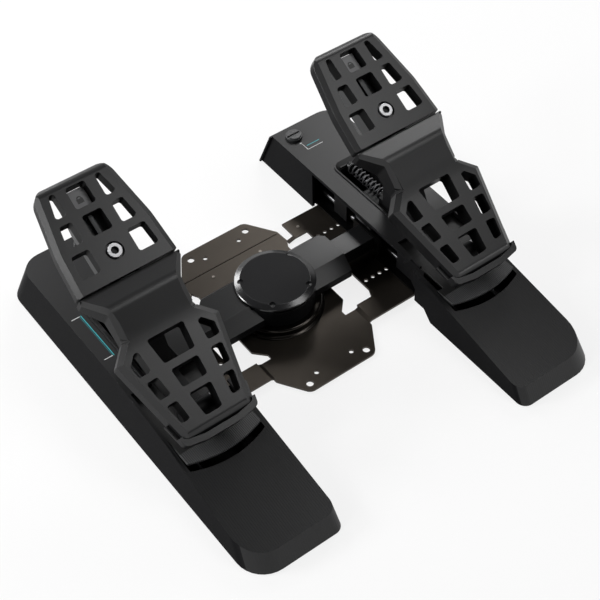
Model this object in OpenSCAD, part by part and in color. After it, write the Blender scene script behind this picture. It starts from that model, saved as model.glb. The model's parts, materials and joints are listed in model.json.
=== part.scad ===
// Flight simulator rudder pedals: two pedals that slide in long side covers
// against each other, with tilting toe brakes, joined by a floor plate, a hub
// and telescoping arms. Millimetres, +Z up. X runs from the left pedal to the
// right one, Y points away from the pilot, and the origin is on the floor
// under the middle of the hub. The right side is drawn and the left mirrors it.

/* [Overall layout] */
// Distance between the pedal centre lines at the wide setting
pedal_spacing = 300; // [296:1:304]
// Travel of each pedal from its middle place, both ways
pedal_travel = 30; // [20:1:30]
// Inward travel of each side for the narrow setting
width_travel = 25.5; // [17:0.5:25.5]
// Gap kept between pieces that move past each other
gap = 0.4; // [0.3:0.05:0.5]
// Radial clearance of a running pin or shaft
fit = 0.05; // [0.03:0.01:0.08]

/* [Side covers] */
// Pedal centre line to the outer wall at the floor
cover_out = 47.3; // [46:0.1:50]
// Pedal centre line to the inner wall of the heel part at the floor
cover_in = 46.9; // [45:0.1:48]
// Step of the rear inner wall towards the pedal
cover_step = 6.9; // [4:0.1:7]
// Lean of the outer wall from floor to top
cover_lean = 6.8; // [4:0.1:8]
// Lean of the inner wall from floor to top
cover_lean_in = 1.9; // [1:0.1:3]
// Step from the covers' flat top down to the plate round the post
plate_drop = 8.5; // [8:0.5:9]
// Heel end at the floor, in front of the hub centre
cover_front = 242; // [236:1:250]
// Rear end at the floor, behind the hub centre
cover_rear = 178; // [174:1:190]
// Slope of the heel end wall over its height
heel_end_lean = 11; // [8:1:14]
// Height of the heel end
heel_end_h = 17.5; // [15:0.5:20]
// Place where the heel slope gets gentler
heel_bend_y = 95; // [90:1:100]
// Drop of that place under the flat top
heel_bend_drop = 5.5; // [5:0.5:6.5]
// Place where the slope meets the flat top
flat_start_y = 20; // [10:1:30]
// Slope of the rear end wall over its height
rear_lean = 22; // [16:1:26]
// Wall thickness of the covers
cover_wall = 3; // [2.5:0.5:3]
// Plan radius of the outer heel corner
heel_r_out = 28; // [20:1:32]
// Plan radius of the inner heel corner
heel_r_in = 10; // [6:1:14]
// Plan radius of the outer rear corner
rear_r_out = 22; // [14:1:28]
// Front edge of the top opening at its ends, in front of the hub centre
open_front_y = 135; // [134:0.5:138]
// How far that edge bows forward in the middle
open_bow = 8; // [5:0.5:9]
// Rear edge of the top opening
open_rear_y = 42; // [38:1:46]
// Width left of the inner rim beside the opening
open_rim = 3.6; // [3.2:0.1:4]
// Place where the opening gets narrower, in front of the hub centre
open_step_y = 78; // [76:0.5:80]
// Rear end of the post slot, behind the hub centre
slot_rear_y = 75; // [74:0.5:77]
// Inner half of the post slot at its lower edge
slot_in = 12.4; // [12:0.2:13]
// Outer half of the post slot at its lower edge
slot_out = 14; // [13:0.5:15]
// Width of the slope round the slot
slot_slope = 6; // [5:0.5:6.5]
// Depth of the slope under the flat top
slot_depth = 5.5; // [5:0.25:6]
// Radius of the slot's rear corners at the lower edge
slot_r = 3; // [2:0.5:5]
// Width and height of the rim round the slope
slot_rim = 1.2; // [1:0.1:1.5]
// Lintel of the side window under the flat top
window_drop = 3.4; // [3.2:0.2:6]
// Front end of the side window
window_front = 78; // [77:0.5:82]
// Rear end of the side window
window_rear = 86; // [85:0.5:90]
// Thickness of the end wall where it stands proud of the inner wall
fin_t = 2.2; // [2:0.1:2.5]
// Reach of the end wall past the inner wall
fin_reach = 2.6; // [2:0.1:3]
// Thickness of the bottom tray
tray_t = 2.5; // [2:0.1:2.6]
// Height of the rubber feet
foot_h = 1.2; // [1:0.1:1.4]
// Radius of the rubber feet
foot_r = 9; // [7:0.5:11]

/* [Floor plate] */
// Sheet thickness of the floor plate
plate_t = 2.5; // [2:0.1:2.5]
// Height of the lobes' underside over the floor
lobe_z = 0; // [0:0.1:0.2]
// Rise of the side wings over the lobes
wing_rise = 2.2; // [1.8:0.1:2.3]
// Half depth of the plate over the two lobes
lobe_y = 108.4; // [107:0.2:112]
// Half width of a lobe's end
lobe_half = 38; // [36:0.5:40]
// Half width of the middle web
web_half = 55; // [53:0.5:57]
// Outer end of the wings
wing_end = 122; // [120:0.5:123]
// Inner edge of the wings' long opening
wing_in = 82; // [80:0.5:84]
// Big fixing holes: half spacing along X
hole_big_x = 33.4; // [32:0.1:35]
// Big fixing holes: half spacing along Y
hole_big_y = 99; // [98:0.1:100]
// Big fixing holes: radius
hole_big_r = 3.6; // [3:0.1:4]
// Small fixing holes: half spacing along X
hole_small_x = 20.6; // [18:0.1:22]
// Small fixing holes: half spacing along Y
hole_small_y = 92.2; // [91:0.1:93]
// Small fixing holes: radius
hole_small_r = 2.4; // [2:0.1:3]
// Rivets: radius
rivet_r = 1.5; // [1:0.1:2]
// Rivets on the rear lobe: half spacing along X
rivet_lobe_x = 28.6; // [26:0.1:30]
// Rivets on the wings: half spacing along X
rivet_wing_x = 78.4; // [76:0.1:80]
// Rivets on the rear lobe along Y
rivet_lobe_y = 66; // [64:0.5:68]
// Rivets on the wings along Y
rivet_wing_y = 69; // [67:0.5:71]
// Fold across the rear lobe along Y
fold_y = 75.9; // [74:0.1:77]
// Width and height of the fold's ridge
fold_w = 1.2; // [1:0.1:1.6]
// Width setting holes: radius
hole_row_r = 2; // [1.5:0.1:2.2]
// Width setting holes: pitch along X
hole_row_pitch = 8.5; // [8:0.1:8.5]
// Width setting holes: first one along X
hole_row_x = 87.2; // [86.8:0.1:88]
// Width setting holes: rear row along Y
hole_row_rear = 46.6; // [45:0.1:48]
// Width setting holes: front row along Y
hole_row_front = 31.3; // [30:0.1:33]

/* [Hub and arms] */
// Width of the pedestal's ledge round the hub
pedestal_ledge = 6.5; // [5.5:0.5:8]
// Top of the pedestal over the floor
pedestal_top = 12.4; // [12:0.1:12.6]
// Radius of the hub housing
hub_r = 38.5; // [38:0.5:39.5]
// Thickness of the arms over the sleeve
arm_roof = 3.1; // [3:0.1:3.5]
// Thickness of the arms under the sleeve
arm_floor = 1.7; // [1.5:0.1:2]
// Wall thickness of the hub housing
hub_wall = 3; // [2.5:0.5:3.5]
// Overhang of the hub cap past the housing
cap_over = 1.1; // [0.8:0.1:1.4]
// Height of the groove under the cap
neck_h = 3; // [2.5:0.1:3]
// Depth of the groove under the cap
neck_d = 2; // [1.5:0.1:2]
// Height of the hub cap
cap_h = 4.8; // [4:0.1:6]
// Bevel of the cap's rim across the radius
cap_bevel = 5.6; // [4:0.1:7]
// Outer end of the hub's arms
arm_end = 75; // [72:0.5:77]
// Front face of the arms, in front of the hub centre
arm_front = 24; // [22:0.5:25]
// Rear face of the arms, behind the hub centre
arm_rear = 28; // [26:0.5:29]
// Depth and height of the arms' front bevel
arm_bevel = 13; // [10:0.5:14]
// Width of the sliding arm sleeve
sleeve_w = 24; // [23:0.5:24.5]
// Height of the sliding arm sleeve
sleeve_h = 16; // [15.5:0.1:16]
// Wall thickness of the sleeve
sleeve_wall = 2; // [1.5:0.1:2.5]
// Inner end of the sleeve at the wide setting
sleeve_start = 62; // [60:0.5:64]
// Offset of the shaft line behind the hub centre
shaft_y = 2; // [1:0.1:3]
// Across flats of the hexagonal shafts
shaft_flats = 7; // [6.6:0.1:7]
// Outer end of the shafts
shaft_end = 151; // [151:0.5:153]
// Module of the hub gears
hub_module = 0.75; // [0.7:0.05:0.75]
// Teeth of each hub gear
hub_teeth = 16; // [16:1:16]
// Module of the rack and its pinion
rack_module = 1.25; // [1.2:0.05:1.25]
// Teeth of the rack's pinion
pinion_teeth = 16; // [16:1:16]

/* [Carriages] */
// Radius of the guide rods
rod_r = 3.5; // [3:0.1:3.6]
// Guide rods from the pedal centre line
rod_x = 23; // [22:0.5:24]
// Height of the guide rods over the floor
rod_z = 12.6; // [12.4:0.1:13]
// Front face of the front rod wall, in front of the hub centre
rod_front = 156; // [154:0.5:160]
// Rear face of the rear rod wall, behind the hub centre
rod_rear = 116; // [114:0.5:120]
// Wall thickness of the guide bushes
bush_wall = 1.5; // [1:0.1:1.7]
// Width of a carriage leg and rail
leg_w = 14; // [13:0.5:14]
// Thickness of the carriage deck
deck_t = 4; // [3:0.2:4]
// Thickness of the cover plate on the carriage
slide_t = 2.5; // [2:0.1:2.5]
// Front edge of the cover plate at its ends
slide_front = 130; // [128:0.5:131]
// How far that edge bows forward
slide_bow = 7.5; // [6:0.5:8]
// Half width of the pedal post
post_half = 11; // [10:0.5:12]
// Half width of the post's foot
foot_half = 12; // [11:0.5:12]
// Front face of the post's tower, in front of the hub centre
tower_front = 19.5; // [18:0.5:22]
// Rear face of the post's tower, behind the hub centre
tower_rear = 9; // [7:0.5:10]
// Height of the tower over the cover plate's seat
tower_h = 65; // [62:0.5:65]
// Mean radius of the return spring
spring_r = 5.6; // [5:0.1:6]
// Wire radius of the return spring
spring_wire = 0.8; // [0.6:0.05:0.9]
// Turns of the return spring
spring_turns = 9.5; // [8:0.5:10]
// Depth of the return spring's axis under the flat top
spring_drop = 6; // [6:0.1:6.4]
// Front end of the return spring, behind the hub centre
spring_front = 18.3; // [18.3:0.1:20]

/* [Pedals] */
// Slope of the pedals
pedal_slope = 28.6; // [27:0.1:30]
// Lowest hole row of the heel plate, in front of the hub centre
pedal_y = 107.7; // [106:0.1:110]
// Height of that row over the covers' flat top
pedal_rise = 33.5; // [32:0.5:36]
// Height of the sole plate's skin
skin_t = 6; // [5:0.5:7]
// Depth of the pedal body's skirt
skirt_d = 18; // [15:0.5:19]
// Depth of the toe plate's skirt
toe_skirt_d = 14; // [12:0.5:15]
// Wall thickness of the skirts
skirt_wall = 3; // [2:0.5:3.5]
// Width of the bevel along the pedal's sides
bevel_w = 5; // [4:0.5:5.5]
// Depth of the bevel along the pedal's sides
bevel_d = 3.4; // [2.5:0.1:4]
// Depth of the second lip under the sole face
lip_z = 9; // [8:0.5:10]
// Thickness of the second lip
lip_t = 3.4; // [3:0.2:4]
// How far the second lip stands out under the heel plate
lip_out = 2.6; // [2:0.2:3]
// How far the second lip is set down the slope
lip_reach = 3.6; // [2:0.2:4]
// Depth of the bumper's top under the sole face
bumper_drop = 1.6; // [1:0.2:3]
// Half width of the heel plate's lower end
heel_low_half = 34; // [32:0.5:36]
// Half width of the heel plate's widest place
heel_wide_half = 52.3; // [50:0.1:53]
// Half width of the waist
waist_half = 36.8; // [35:0.1:38]
// Half width of the toe end of the body and of the toe plate
toe_low_half = 50.4; // [49:0.1:51]
// Half width of the toe plate's upper end
toe_high_half = 37; // [35:0.5:39]
// Slope length from the reference row to the toe plate's upper edge
toe_end = 226.5; // [224:0.5:230]
// Slope length from the reference row to the gap under the toe plate
toe_gap = 124.2; // [123:0.2:126]
// Height of the ridge across the waist
ridge_h = 7.8; // [5:0.2:9]
// Radius of the tilt axle
axle_r = 5; // [4:0.5:5]
// Place of the tilt axle down the slope from the lowest hole row
axle_back = 4; // [3:0.5:5]
// Depth of the tilt axle under the pedal body's skirt
axle_drop = 9; // [9:0.5:10]
// Thickness of the axle lugs
lug_t = 5; // [4:0.5:5]
// Place of the toe screw along the slope
screw_v = 148.2; // [146:0.2:150]
// Half width of the arm under the toe plate
arm_half = 16; // [14:0.5:17]
// Depth of that arm's underside
arm_deep = 36; // [32:1:38]
// Radius of the toe screw's head
screw_head_r = 6.5; // [6:0.1:7]
// Radius of the toe screw's thread
screw_r = 4; // [3.5:0.1:4.2]

/* [Hidden] */
overrun = 1;
steps = 8;
pressure_angle = 20;
cx = pedal_spacing / 2;
lobe_r = 9;
shoulder_out = 2;
shoulder_y = 78;
shoulder_r = 6;
notch_in = 10.7;
notch_front_y = 53.3;
notch_rear_y = 47.5;
notch_r_in = 1;
web_front_y = 36;
web_rear_y = 54;
web_r = 3;
tab_out = 4.4;
tab_rear_y = 62;
wing_front_y = 74.5;
wing_rear_y = 82;
wing_slot_y = 42;
wing_tab = 14.5;
wing_tab_y = 58.5;
wing_tab_out = 5;
wing_bevel = 4;
wing_bevel_y = 51;
bend_in = 1;
hub_pitch_r = hub_module * hub_teeth / 2;
pinion_pitch_r = rack_module * pinion_teeth / 2;
shaft_z = pedestal_top + arm_floor + gap + sleeve_h / 2;
hub_top = shaft_z + sleeve_h / 2 + gap + arm_roof;
rack_z = shaft_z + pinion_pitch_r;
deck_z = rack_z + 2 * rack_module;
slide_z = deck_z + deck_t;
cover_h = slide_z + slide_t + plate_drop;
heel_bend_h = cover_h - heel_bend_drop;
window_h = cover_h - window_drop;
spring_z = cover_h - spring_drop;
pedal_z = cover_h + pedal_rise;
cover_out_x = cx + cover_out;
cover_in_x = cx - cover_in;
step_x = cover_in_x + cover_step;
open_in_x = cover_in_x + cover_wall + open_rim;
open_rear_in_x = step_x + cover_wall + open_rim;
open_out_x = cover_out_x - cover_lean - cover_wall + gap;
rear_top_y = cover_rear - rear_lean;
heel_top_y = cover_front - heel_end_lean;
step_low_y = 112;
step_high_y = 59;
front_corner_r = 300;
flat_corner_r = 500;
tray_top = foot_h + tray_t;
wing_z = lobe_z + wing_rise;
chassis_z = wing_z + plate_t + gap;
chassis_t = 2;
chassis_top = chassis_z + chassis_t;
chassis_in = 3.5;
notch_x = wing_end + width_travel + cover_step - cover_wall;
notch_margin = 2;
upright_t = 3;
upright_x = step_x + cover_wall + fit;
upright_margin = 8;
rod_wall_t = 4;
rod_wall_half = 9;
bearing_half = 9;
sleeve_front = shaft_y - sleeve_w / 2;
sleeve_low = shaft_z - sleeve_h / 2;
pedestal_r = hub_r + pedestal_ledge;
cap_r = hub_r + cap_over;
neck_z = hub_top - neck_h;
hub_r_in = hub_r - hub_wall;
cap_skin = 2.4;
cap_plug_gap = 1;
cap_edge = 0.6;
arm_edge = 4;
arm_corner = 9;
cap_step = 2.6;
notch_r = 3;
pedestal_ring = 8;
pedestal_hole_r = hub_r - pedestal_ring;
pedestal_round = 1.5;
frame_low = lobe_z + plate_t;
frame_front = 9;
frame_rear = 22;
hex_r = shaft_flats / 2 / cos(30);
idler_dir_up = 30;
idler_dir_down = -30;
right_gear_phase = 0;
idler_b_phase = mate_phase(right_gear_phase, idler_dir_down, hub_teeth);
idler_a_phase = mate_phase(idler_b_phase, 90, hub_teeth);
left_gear_phase = mate_phase(idler_a_phase, 180 + idler_dir_up, hub_teeth);
gear_face = 5;
gear_inner = 3;
idler_reach = 2;
idler_axle_r = 2;
plate_gap_x = 10;
frame_t = 3;
journal_r = 4.2;
board_t = 1.6;
chip_half = 3;
pinion_hub_in = 14;
pinion_hub_gap = 1;
pinion_face = 8;
pinion_rim = 0.6;
pinion_hub_wall = 2.4;
socket_half = 4.6;
socket_t = 3.6;
socket_rise = 5.6;
socket_z = pedestal_top + socket_rise;
socket_wall = 0.5;
socket_board_half = 8;
socket_board_back = 8.4;
socket_board_t = 1.6;
socket_foot_t = 2.4;
rail_front = 78;
rail_rear = 62;
front_leg = 40;
rear_leg = 20;
rail_clear = 3.5;
rail_sink = 2;
rail_low = shaft_z + hex_r + rail_clear;
rail_top = deck_z + rail_sink;
deck_half = 30;
deck_front = 100;
spring_seat_gap = 0.3;
deck_rear = spring_front - spring_seat_gap;
hook_half = 8;
rack_sink = 1.5;
rack_out = 1.4;
rack_in = 8.6;
leg_low = chassis_top + gap * 2;
slide_in_x = open_rear_in_x + gap;
slide_wide_in_x = open_in_x + gap;
slide_out_x = open_out_x - gap;
step_gap = 1;
slide_step_y = open_step_y + pedal_travel + step_gap;
slide_rear = 20;
foot_front = 106;
foot_rise = 4;
spring_set_back = 1;
spring_rear = slot_rear_y + spring_set_back;
spring_stub_gap = 1;
spring_stub_r = spring_r - spring_wire - spring_stub_gap;
spring_stub_l = 5;
spring_wall_t = 8;
axle_v = -axle_back;
axle_d = skirt_d + axle_drop;
axle_y = -pedal_y + axle_v * cos(pedal_slope) + axle_d * sin(pedal_slope);
axle_z = pedal_z + axle_v * sin(pedal_slope) - axle_d * cos(pedal_slope);
boss_r = 8.6;
boss_angle = 20;
coil_r = 8;
coil_end = 15.6;
lug_in = coil_end + gap;
lug_r = 8;
screw_hole_r = screw_r + fit;
arm_top_d = toe_skirt_d + gap;
spine_half = 8;
ridge_half = 2.5;
pad_top_d = 9;
pad_side_gap = 1;
pad_end_gap = 1.5;
ridge_room_d = pad_top_d - gap;
arm_heel = 6;
arm_heel_run = 10;
arm_taper = 42;
arm_end_back = 12;
arm_end_rise = 11;
arm_round = 4;
arm_taper_r = 12;
screw_bed = 8;
screw_sink = 3.6;
screw_proud = 1;
screw_seat_gap = 2;
screw_length = 18;
screw_socket_r = 3.4;
screw_socket_d = 3;
plates_gap = 1.6;
heel_end_v = 26;
heel_end_r = 20;
heel_middle_share = 0.5;
heel_corner_out = 0.5;
heel_corner_v = 22.5;
heel_corner_r = 5;
bumper_from_v = 3;
nose_d = 12;
nose_r = 9;
nose_room = 5;
shoulder_v = 59;
shoulder_corner_r = 3;
waist_low_v = 75;
waist_high_v = 100;
waist_r = 5;
ridge_start_v = 70;
ridge_start_r = 100;
ridge_v = 103.5;
ridge_r = 14;
toe_corner_v = 119;
toe_corner_r = 2;
toe_drop = 2;
toe_side_v = 165;
toe_side_in = 2.4;
toe_side_r = 90;
toe_end_r = 16;
toe_roll_r = 9;
hole_r = 2.5;
lug_round_share = 0.9;
post_rib_room = 17;
post_ledge = 1;
tower_r = 3;
post_r = 12;

// Middle holes of the heel plate as shares of the shoulder's half width and height:
// lower edge, upper edge, half width below, half width above
heel_middle_shares = [
    [0.703, 1.127, 0.298, 0.356],
    [0.276, 0.585, 0.243, 0.262],
    [-0.237, 0.158, 0.164, 0.216]];

// Corners of the side holes of the heel plate, as the same shares
heel_side_shares = [
    [[0.551, 0.698], [0.792, 0.698], [0.818, 0.890], [0.658, 1.042], [0.574, 1.034]],
    [[0.468, 0.275], [0.692, 0.275], [0.738, 0.581], [0.516, 0.588]],
    [[0.405, -0.169], [0.579, -0.161], [0.658, 0.153], [0.451, 0.159]]];

// Middle holes of the toe plate as shares of its half width and of its length
toe_middle_shares = [
    [0.692, 0.902, 0.198, 0.190],
    [0.423, 0.624, 0.202, 0.190]];

lock_hole_shares = toe_middle_shares[0];
pad_half = toe_low_half * lock_hole_shares[3] - pad_side_gap;
pad_low_v = toe_gap + (toe_end - toe_gap) * lock_hole_shares[0] + pad_end_gap;
pad_high_v = toe_gap + (toe_end - toe_gap) * lock_hole_shares[1] - pad_end_gap;

// Corners of the side holes of the toe plate, as the same shares
toe_side_shares = [
    [[0.393, 0.692], [0.607, 0.692], [0.504, 0.907], [0.401, 0.907]],
    [[0.389, 0.422], [0.694, 0.422], [0.625, 0.624], [0.397, 0.624]],
    [[0.381, 0.130], [0.774, 0.130], [0.730, 0.350], [0.387, 0.350]]];
knob_in = 22.6;
knob_x = cx - knob_in;
knob_y = 140;
knob_r = 8.8;
knob_h = 4;
knob_step = 1.2;
knob_slot_half = 1;
knob_shaft_r = 4;
knob_cam_r = 6.5;
knob_cam_t = 4;

// Outline and gear helpers

function unit(v) = v / norm(v);

// Points of the arc that rounds corner b between a and c with radius r
function corner_arc(a, b, c, r) =
    let (
        u = unit(a - b),
        w = unit(c - b),
        half = acos(u * w) / 2,
        middle = b + unit(u + w) * r / sin(half),
        from = b + u * r / tan(half) - middle,
        to = b + w * r / tan(half) - middle,
        start = atan2(from.y, from.x),
        turn = atan2(to.y, to.x) - start,
        sweep = turn > 180 ? turn - 360 : turn < -180 ? turn + 360 : turn
    )
    [for (i = [0:steps]) middle + r * [cos(start + sweep * i / steps), sin(start + sweep * i / steps)]];

// Outline through corners given as [x, y, radius]
function rounded(corners) =
    let (n = len(corners), at = [for (c = corners) [c[0], c[1]]])
    [for (i = [0:n - 1])
        each (corners[i][2] <= 0
            ? [at[i]]
            : corner_arc(at[(i + n - 1) % n], at[i], at[(i + 1) % n], corners[i][2]))];

// A half outline with its mirror image across the Y axis
function both_halves(half) =
    concat(half, [for (i = [len(half) - 1:-1:0]) [-half[i][0], half[i][1], half[i][2]]]);

// Edge that bows by sag over the half width, as points from -half to half
function bowed_edge(half, y, sag) =
    [for (i = [0:2 * steps]) let (s = i / steps - 1) [half * s, y - sag * (1 - s * s)]];

// Tooth angle of a gear that meshes with one of equal size in direction dir
function mate_phase(phase, dir, teeth) = 2 * dir + 180 - phase + 180 / teeth;

// Point of the involute of base circle rb at radius r, turned by a
function involute(rb, r, a) =
    let (t = sqrt(max(r * r / (rb * rb) - 1, 0)), roll = t * 180 / PI - atan(t) + a)
    [r * cos(roll), r * sin(roll)];

// Spur gear outline with thinned teeth, one tooth centred on phase
module gear_outline(m, teeth, phase) {
    rp = m * teeth / 2;
    rb = rp * cos(pressure_angle);
    ro = rp + 0.9 * m;
    rr = rp - 1.2 * m;
    thin_share = 0.9;
    t = sqrt(rp * rp / (rb * rb) - 1);
    half = 90 / teeth * thin_share + t * 180 / PI - atan(t);
    low = max(rb, rr);
    flank = [for (i = [0:3]) involute(rb, low + (ro - low) * i / 3, -half)];
    circle(r = rr, $fn = teeth * 4);
    for (i = [0:teeth - 1]) {
        rotate(phase + i * 360 / teeth)
            polygon(concat([[rr / 2, flank[0].y]], flank,
                [for (k = [3:-1:0]) [flank[k].x, -flank[k].y]], [[rr / 2, -flank[0].y]]));
    }
}

module block(low, high) {
    translate(low) cube(high - low);
}

// An outline in Y and Z, carried along X
module along_x(x0, x1) {
    translate([x0, 0, 0]) rotate([90, 0, 90]) linear_extrude(x1 - x0) children();
}

// An outline in X and Z, carried along Y
module along_y(y0, y1) {
    translate([0, y1, 0]) rotate([90, 0, 0]) linear_extrude(y1 - y0) children();
}

module rod_x(x0, x1, y, z, r) {
    translate([x0, y, z]) rotate([0, 90, 0]) cylinder(h = x1 - x0, r = r, $fn = 48);
}

module rod_y(x, y0, y1, z, r) {
    translate([x, y1, z]) rotate([90, 0, 0]) cylinder(h = y1 - y0, r = r, $fn = 48);
}

module sided(side) {
    if (side > 0) {
        children();
    } else {
        mirror([1, 0, 0]) children();
    }
}

// Frame of a pedal: X across, Y up the slope, Z out of the sole face
module on_pedal() {
    translate([cx, -pedal_y, pedal_z]) rotate([pedal_slope, 0, 0]) children();
}

// Floor plate and hub

module base_plate() {
    web = both_halves([
        [lobe_half, -lobe_y + overrun, lobe_r],
        [web_half + shoulder_out, -shoulder_y, shoulder_r],
        [web_half + shoulder_out, -notch_front_y, 0],
        [web_half - notch_in, -notch_front_y, notch_r_in],
        [web_half - notch_in, -notch_rear_y, notch_r_in],
        [web_half, -web_front_y, web_r],
        [web_half, web_rear_y, 0],
        [web_half + tab_out, tab_rear_y, notch_r_in],
        [web_half + tab_out - notch_r_in, shoulder_y, web_r],
        [lobe_half, lobe_y + overrun, lobe_r]]);
    wing = [
        [web_half + wing_tab_out, -wing_front_y], [wing_end, -wing_front_y], [wing_end, wing_rear_y],
        [wing_in - wing_tab, wing_rear_y], [wing_in - wing_tab, wing_tab_y], [wing_in, wing_tab_y],
        [wing_in, -wing_slot_y], [wing_in - wing_bevel, -wing_bevel_y],
        [web_half + wing_tab_out, -wing_bevel_y]];
    color("#4b463e") difference() {
        union() {
            translate([0, 0, lobe_z]) linear_extrude(plate_t) polygon(rounded(web));
            for (side = [-1, 1]) {
                sided(side) {
                    translate([0, 0, wing_z]) linear_extrude(plate_t) polygon(wing);
                    along_y(-wing_front_y, -notch_front_y)
                        bend(web_half + bend_in, web_half + wing_tab_out + fit);
                    along_y(wing_tab_y, tab_rear_y) bend(web_half + tab_out - fit,
                        wing_in - wing_tab + fit);
                }
            }
            along_x(-web_half - fold_w, web_half + fold_w) polygon([
                [fold_y - fold_w / 2, frame_low - fit], [fold_y + fold_w / 2, frame_low - fit],
                [fold_y, frame_low + fold_w / 2]]);
        }
        for (sx = [-1, 1], sy = [-1, 1]) {
            plate_hole(sx * hole_big_x, sy * hole_big_y, hole_big_r);
            plate_hole(sx * hole_small_x, sy * hole_small_y, hole_small_r);
        }
        for (side = [-1, 1], i = [0:4]) {
            plate_hole(side * (hole_row_x + i * hole_row_pitch), hole_row_rear, hole_row_r);
            plate_hole(side * (hole_row_x + i * hole_row_pitch), -hole_row_front, hole_row_r);
        }
    }
}

// Sloping strip of the sheet between the two levels
module bend(x0, x1) {
    polygon([[x0, lobe_z], [x1, wing_z], [x1, wing_z + plate_t], [x0, lobe_z + plate_t]]);
}

module plate_hole(x, y, r) {
    translate([x, y, -overrun]) cylinder(h = chassis_top + overrun, r = r, $fn = 32);
}

module hub_pedestal() {
    low = lobe_z + plate_t;
    color("#564f46") rotate_extrude($fn = 96) polygon([
        [pedestal_hole_r, pedestal_top - plate_t], [pedestal_r - plate_t, pedestal_top - plate_t],
        [pedestal_r - plate_t, low], [pedestal_r + plate_t, low],
        [pedestal_r + plate_t, low + plate_t / 2], [pedestal_r, low + plate_t],
        [pedestal_r, pedestal_top - pedestal_round], [pedestal_r - pedestal_round, pedestal_top],
        [pedestal_hole_r, pedestal_top]]);
}

module hub_housing() {
    arm = [
        [-arm_front, pedestal_top], [-arm_front, hub_top - arm_bevel],
        [-arm_front + arm_bevel, hub_top], [arm_rear - arm_edge, hub_top],
        [arm_rear, hub_top - arm_edge], [arm_rear, pedestal_top]];
    color("#26272a") difference() {
        union() {
            translate([0, 0, pedestal_top]) cylinder(h = hub_top - pedestal_top, r = hub_r, $fn = 96);
            along_x(-arm_end, arm_end) polygon(arm);
        }
        translate([0, 0, pedestal_top - overrun])
            cylinder(h = hub_top + overrun, r = hub_r_in, $fn = 96);
        rotate_extrude($fn = 96) polygon([
            [hub_r - neck_d, neck_z], [cap_r + gap, neck_z],
            [cap_r + gap, hub_top + overrun], [hub_r - neck_d, hub_top + overrun]]);
        block([-arm_end - overrun, sleeve_front - gap, sleeve_low - gap],
            [arm_end + overrun, sleeve_front + sleeve_w + gap, sleeve_low + sleeve_h + gap]);
        for (side = [-1, 1]) {
            sided(side) translate([arm_end - arm_corner, arm_rear, pedestal_top - overrun])
                rotate(-45) cube([2 * arm_corner, 2 * arm_corner, hub_top]);
        }
        block([-socket_half - gap, hub_r_in - hub_wall, socket_z - gap],
            [socket_half + gap, hub_r + overrun, socket_z + socket_t + gap]);
    }
}

module hub_cap() {
    top = hub_top + cap_h;
    notch_angles = [30, 150, 230, 310];
    color("#3a3b3d") difference() {
        rotate_extrude($fn = 96) polygon([
            [0, top - cap_skin], [hub_r_in - cap_plug_gap, top - cap_skin],
            [hub_r_in - cap_plug_gap, hub_top],
            [cap_r - cap_edge, hub_top], [cap_r, hub_top + cap_edge], [cap_r, top - cap_step],
            [cap_r - cap_edge, top - cap_step + cap_edge], [cap_r - cap_bevel, top], [0, top]]);
        for (a = notch_angles) {
            rotate(a) translate([cap_r - cap_bevel - cap_edge, 0, top - cap_step / 2])
                cylinder(h = cap_h, r = notch_r, $fn = 32);
        }
    }
}

module gear_frame() {
    color("#8d9093") difference() {
        union() {
            block([-plate_gap_x - frame_t, shaft_y - frame_front, frame_low],
                [plate_gap_x + frame_t, shaft_y + frame_rear, frame_low + frame_t]);
            for (side = [-1, 1]) {
                sided(side) block([plate_gap_x, shaft_y - frame_front, frame_low],
                    [plate_gap_x + frame_t, shaft_y + frame_rear, hub_top - gap]);
            }
        }
        rod_x(-cx, cx, shaft_y, shaft_z, journal_r + fit);
        rod_x(-cx, cx, idler_y(), idler_z(1), idler_axle_r + fit);
        rod_x(-cx, cx, idler_y(), idler_z(-1), idler_axle_r + fit);
    }
}

function idler_y() = shaft_y + 2 * hub_pitch_r * cos(idler_dir_up);
function idler_z(up) = shaft_z + up * 2 * hub_pitch_r * sin(idler_dir_up);

// Spur gear with its axis along X and a tooth at the phase angle in the YZ plane
module gear_on_x(x0, x1, y, z, m, teeth, phase) {
    translate([x0, y, z]) rotate([90, 0, 90]) linear_extrude(x1 - x0) gear_outline(m, teeth, phase);
}

// The idler reaches over one hub gear and, past the middle, over the other idler
module idler_gear(up, phase) {
    long = gear_inner + gear_face;
    color("#b9a06a") {
        gear_on_x(up > 0 ? -long : -idler_reach, up > 0 ? idler_reach : long,
            idler_y(), idler_z(up), hub_module, hub_teeth, phase);
        rod_x(gap - plate_gap_x - frame_t, plate_gap_x + frame_t - gap, idler_y(), idler_z(up),
            idler_axle_r);
    }
}

// Hexagonal shaft with its hub gear, from the middle of the hub outwards
module drive_shaft(phase) {
    bare = plate_gap_x + frame_t;
    color("#9a9da1") {
        gear_on_x(gear_inner, gear_inner + gear_face, shaft_y, shaft_z, hub_module, hub_teeth, phase);
        rod_x(gear_inner - overrun, bare + 2 * overrun, shaft_y, shaft_z, journal_r);
        translate([bare + overrun, shaft_y, shaft_z]) rotate([0, 90, 0])
            cylinder(h = shaft_end - bare - overrun, r = hex_r, $fn = 6);
    }
}

module sensor_board() {
    x = plate_gap_x + frame_t;
    color("#20603a") {
        block([x, idler_y() - 2 * chip_half, frame_low + frame_t + overrun],
            [x + board_t, shaft_y + frame_rear - overrun, hub_top - 2 * overrun]);
        block([x + board_t, idler_y() - chip_half, idler_z(-1) - chip_half],
            [x + board_t + overrun, idler_y() + chip_half, idler_z(-1) + chip_half]);
    }
}

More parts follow.
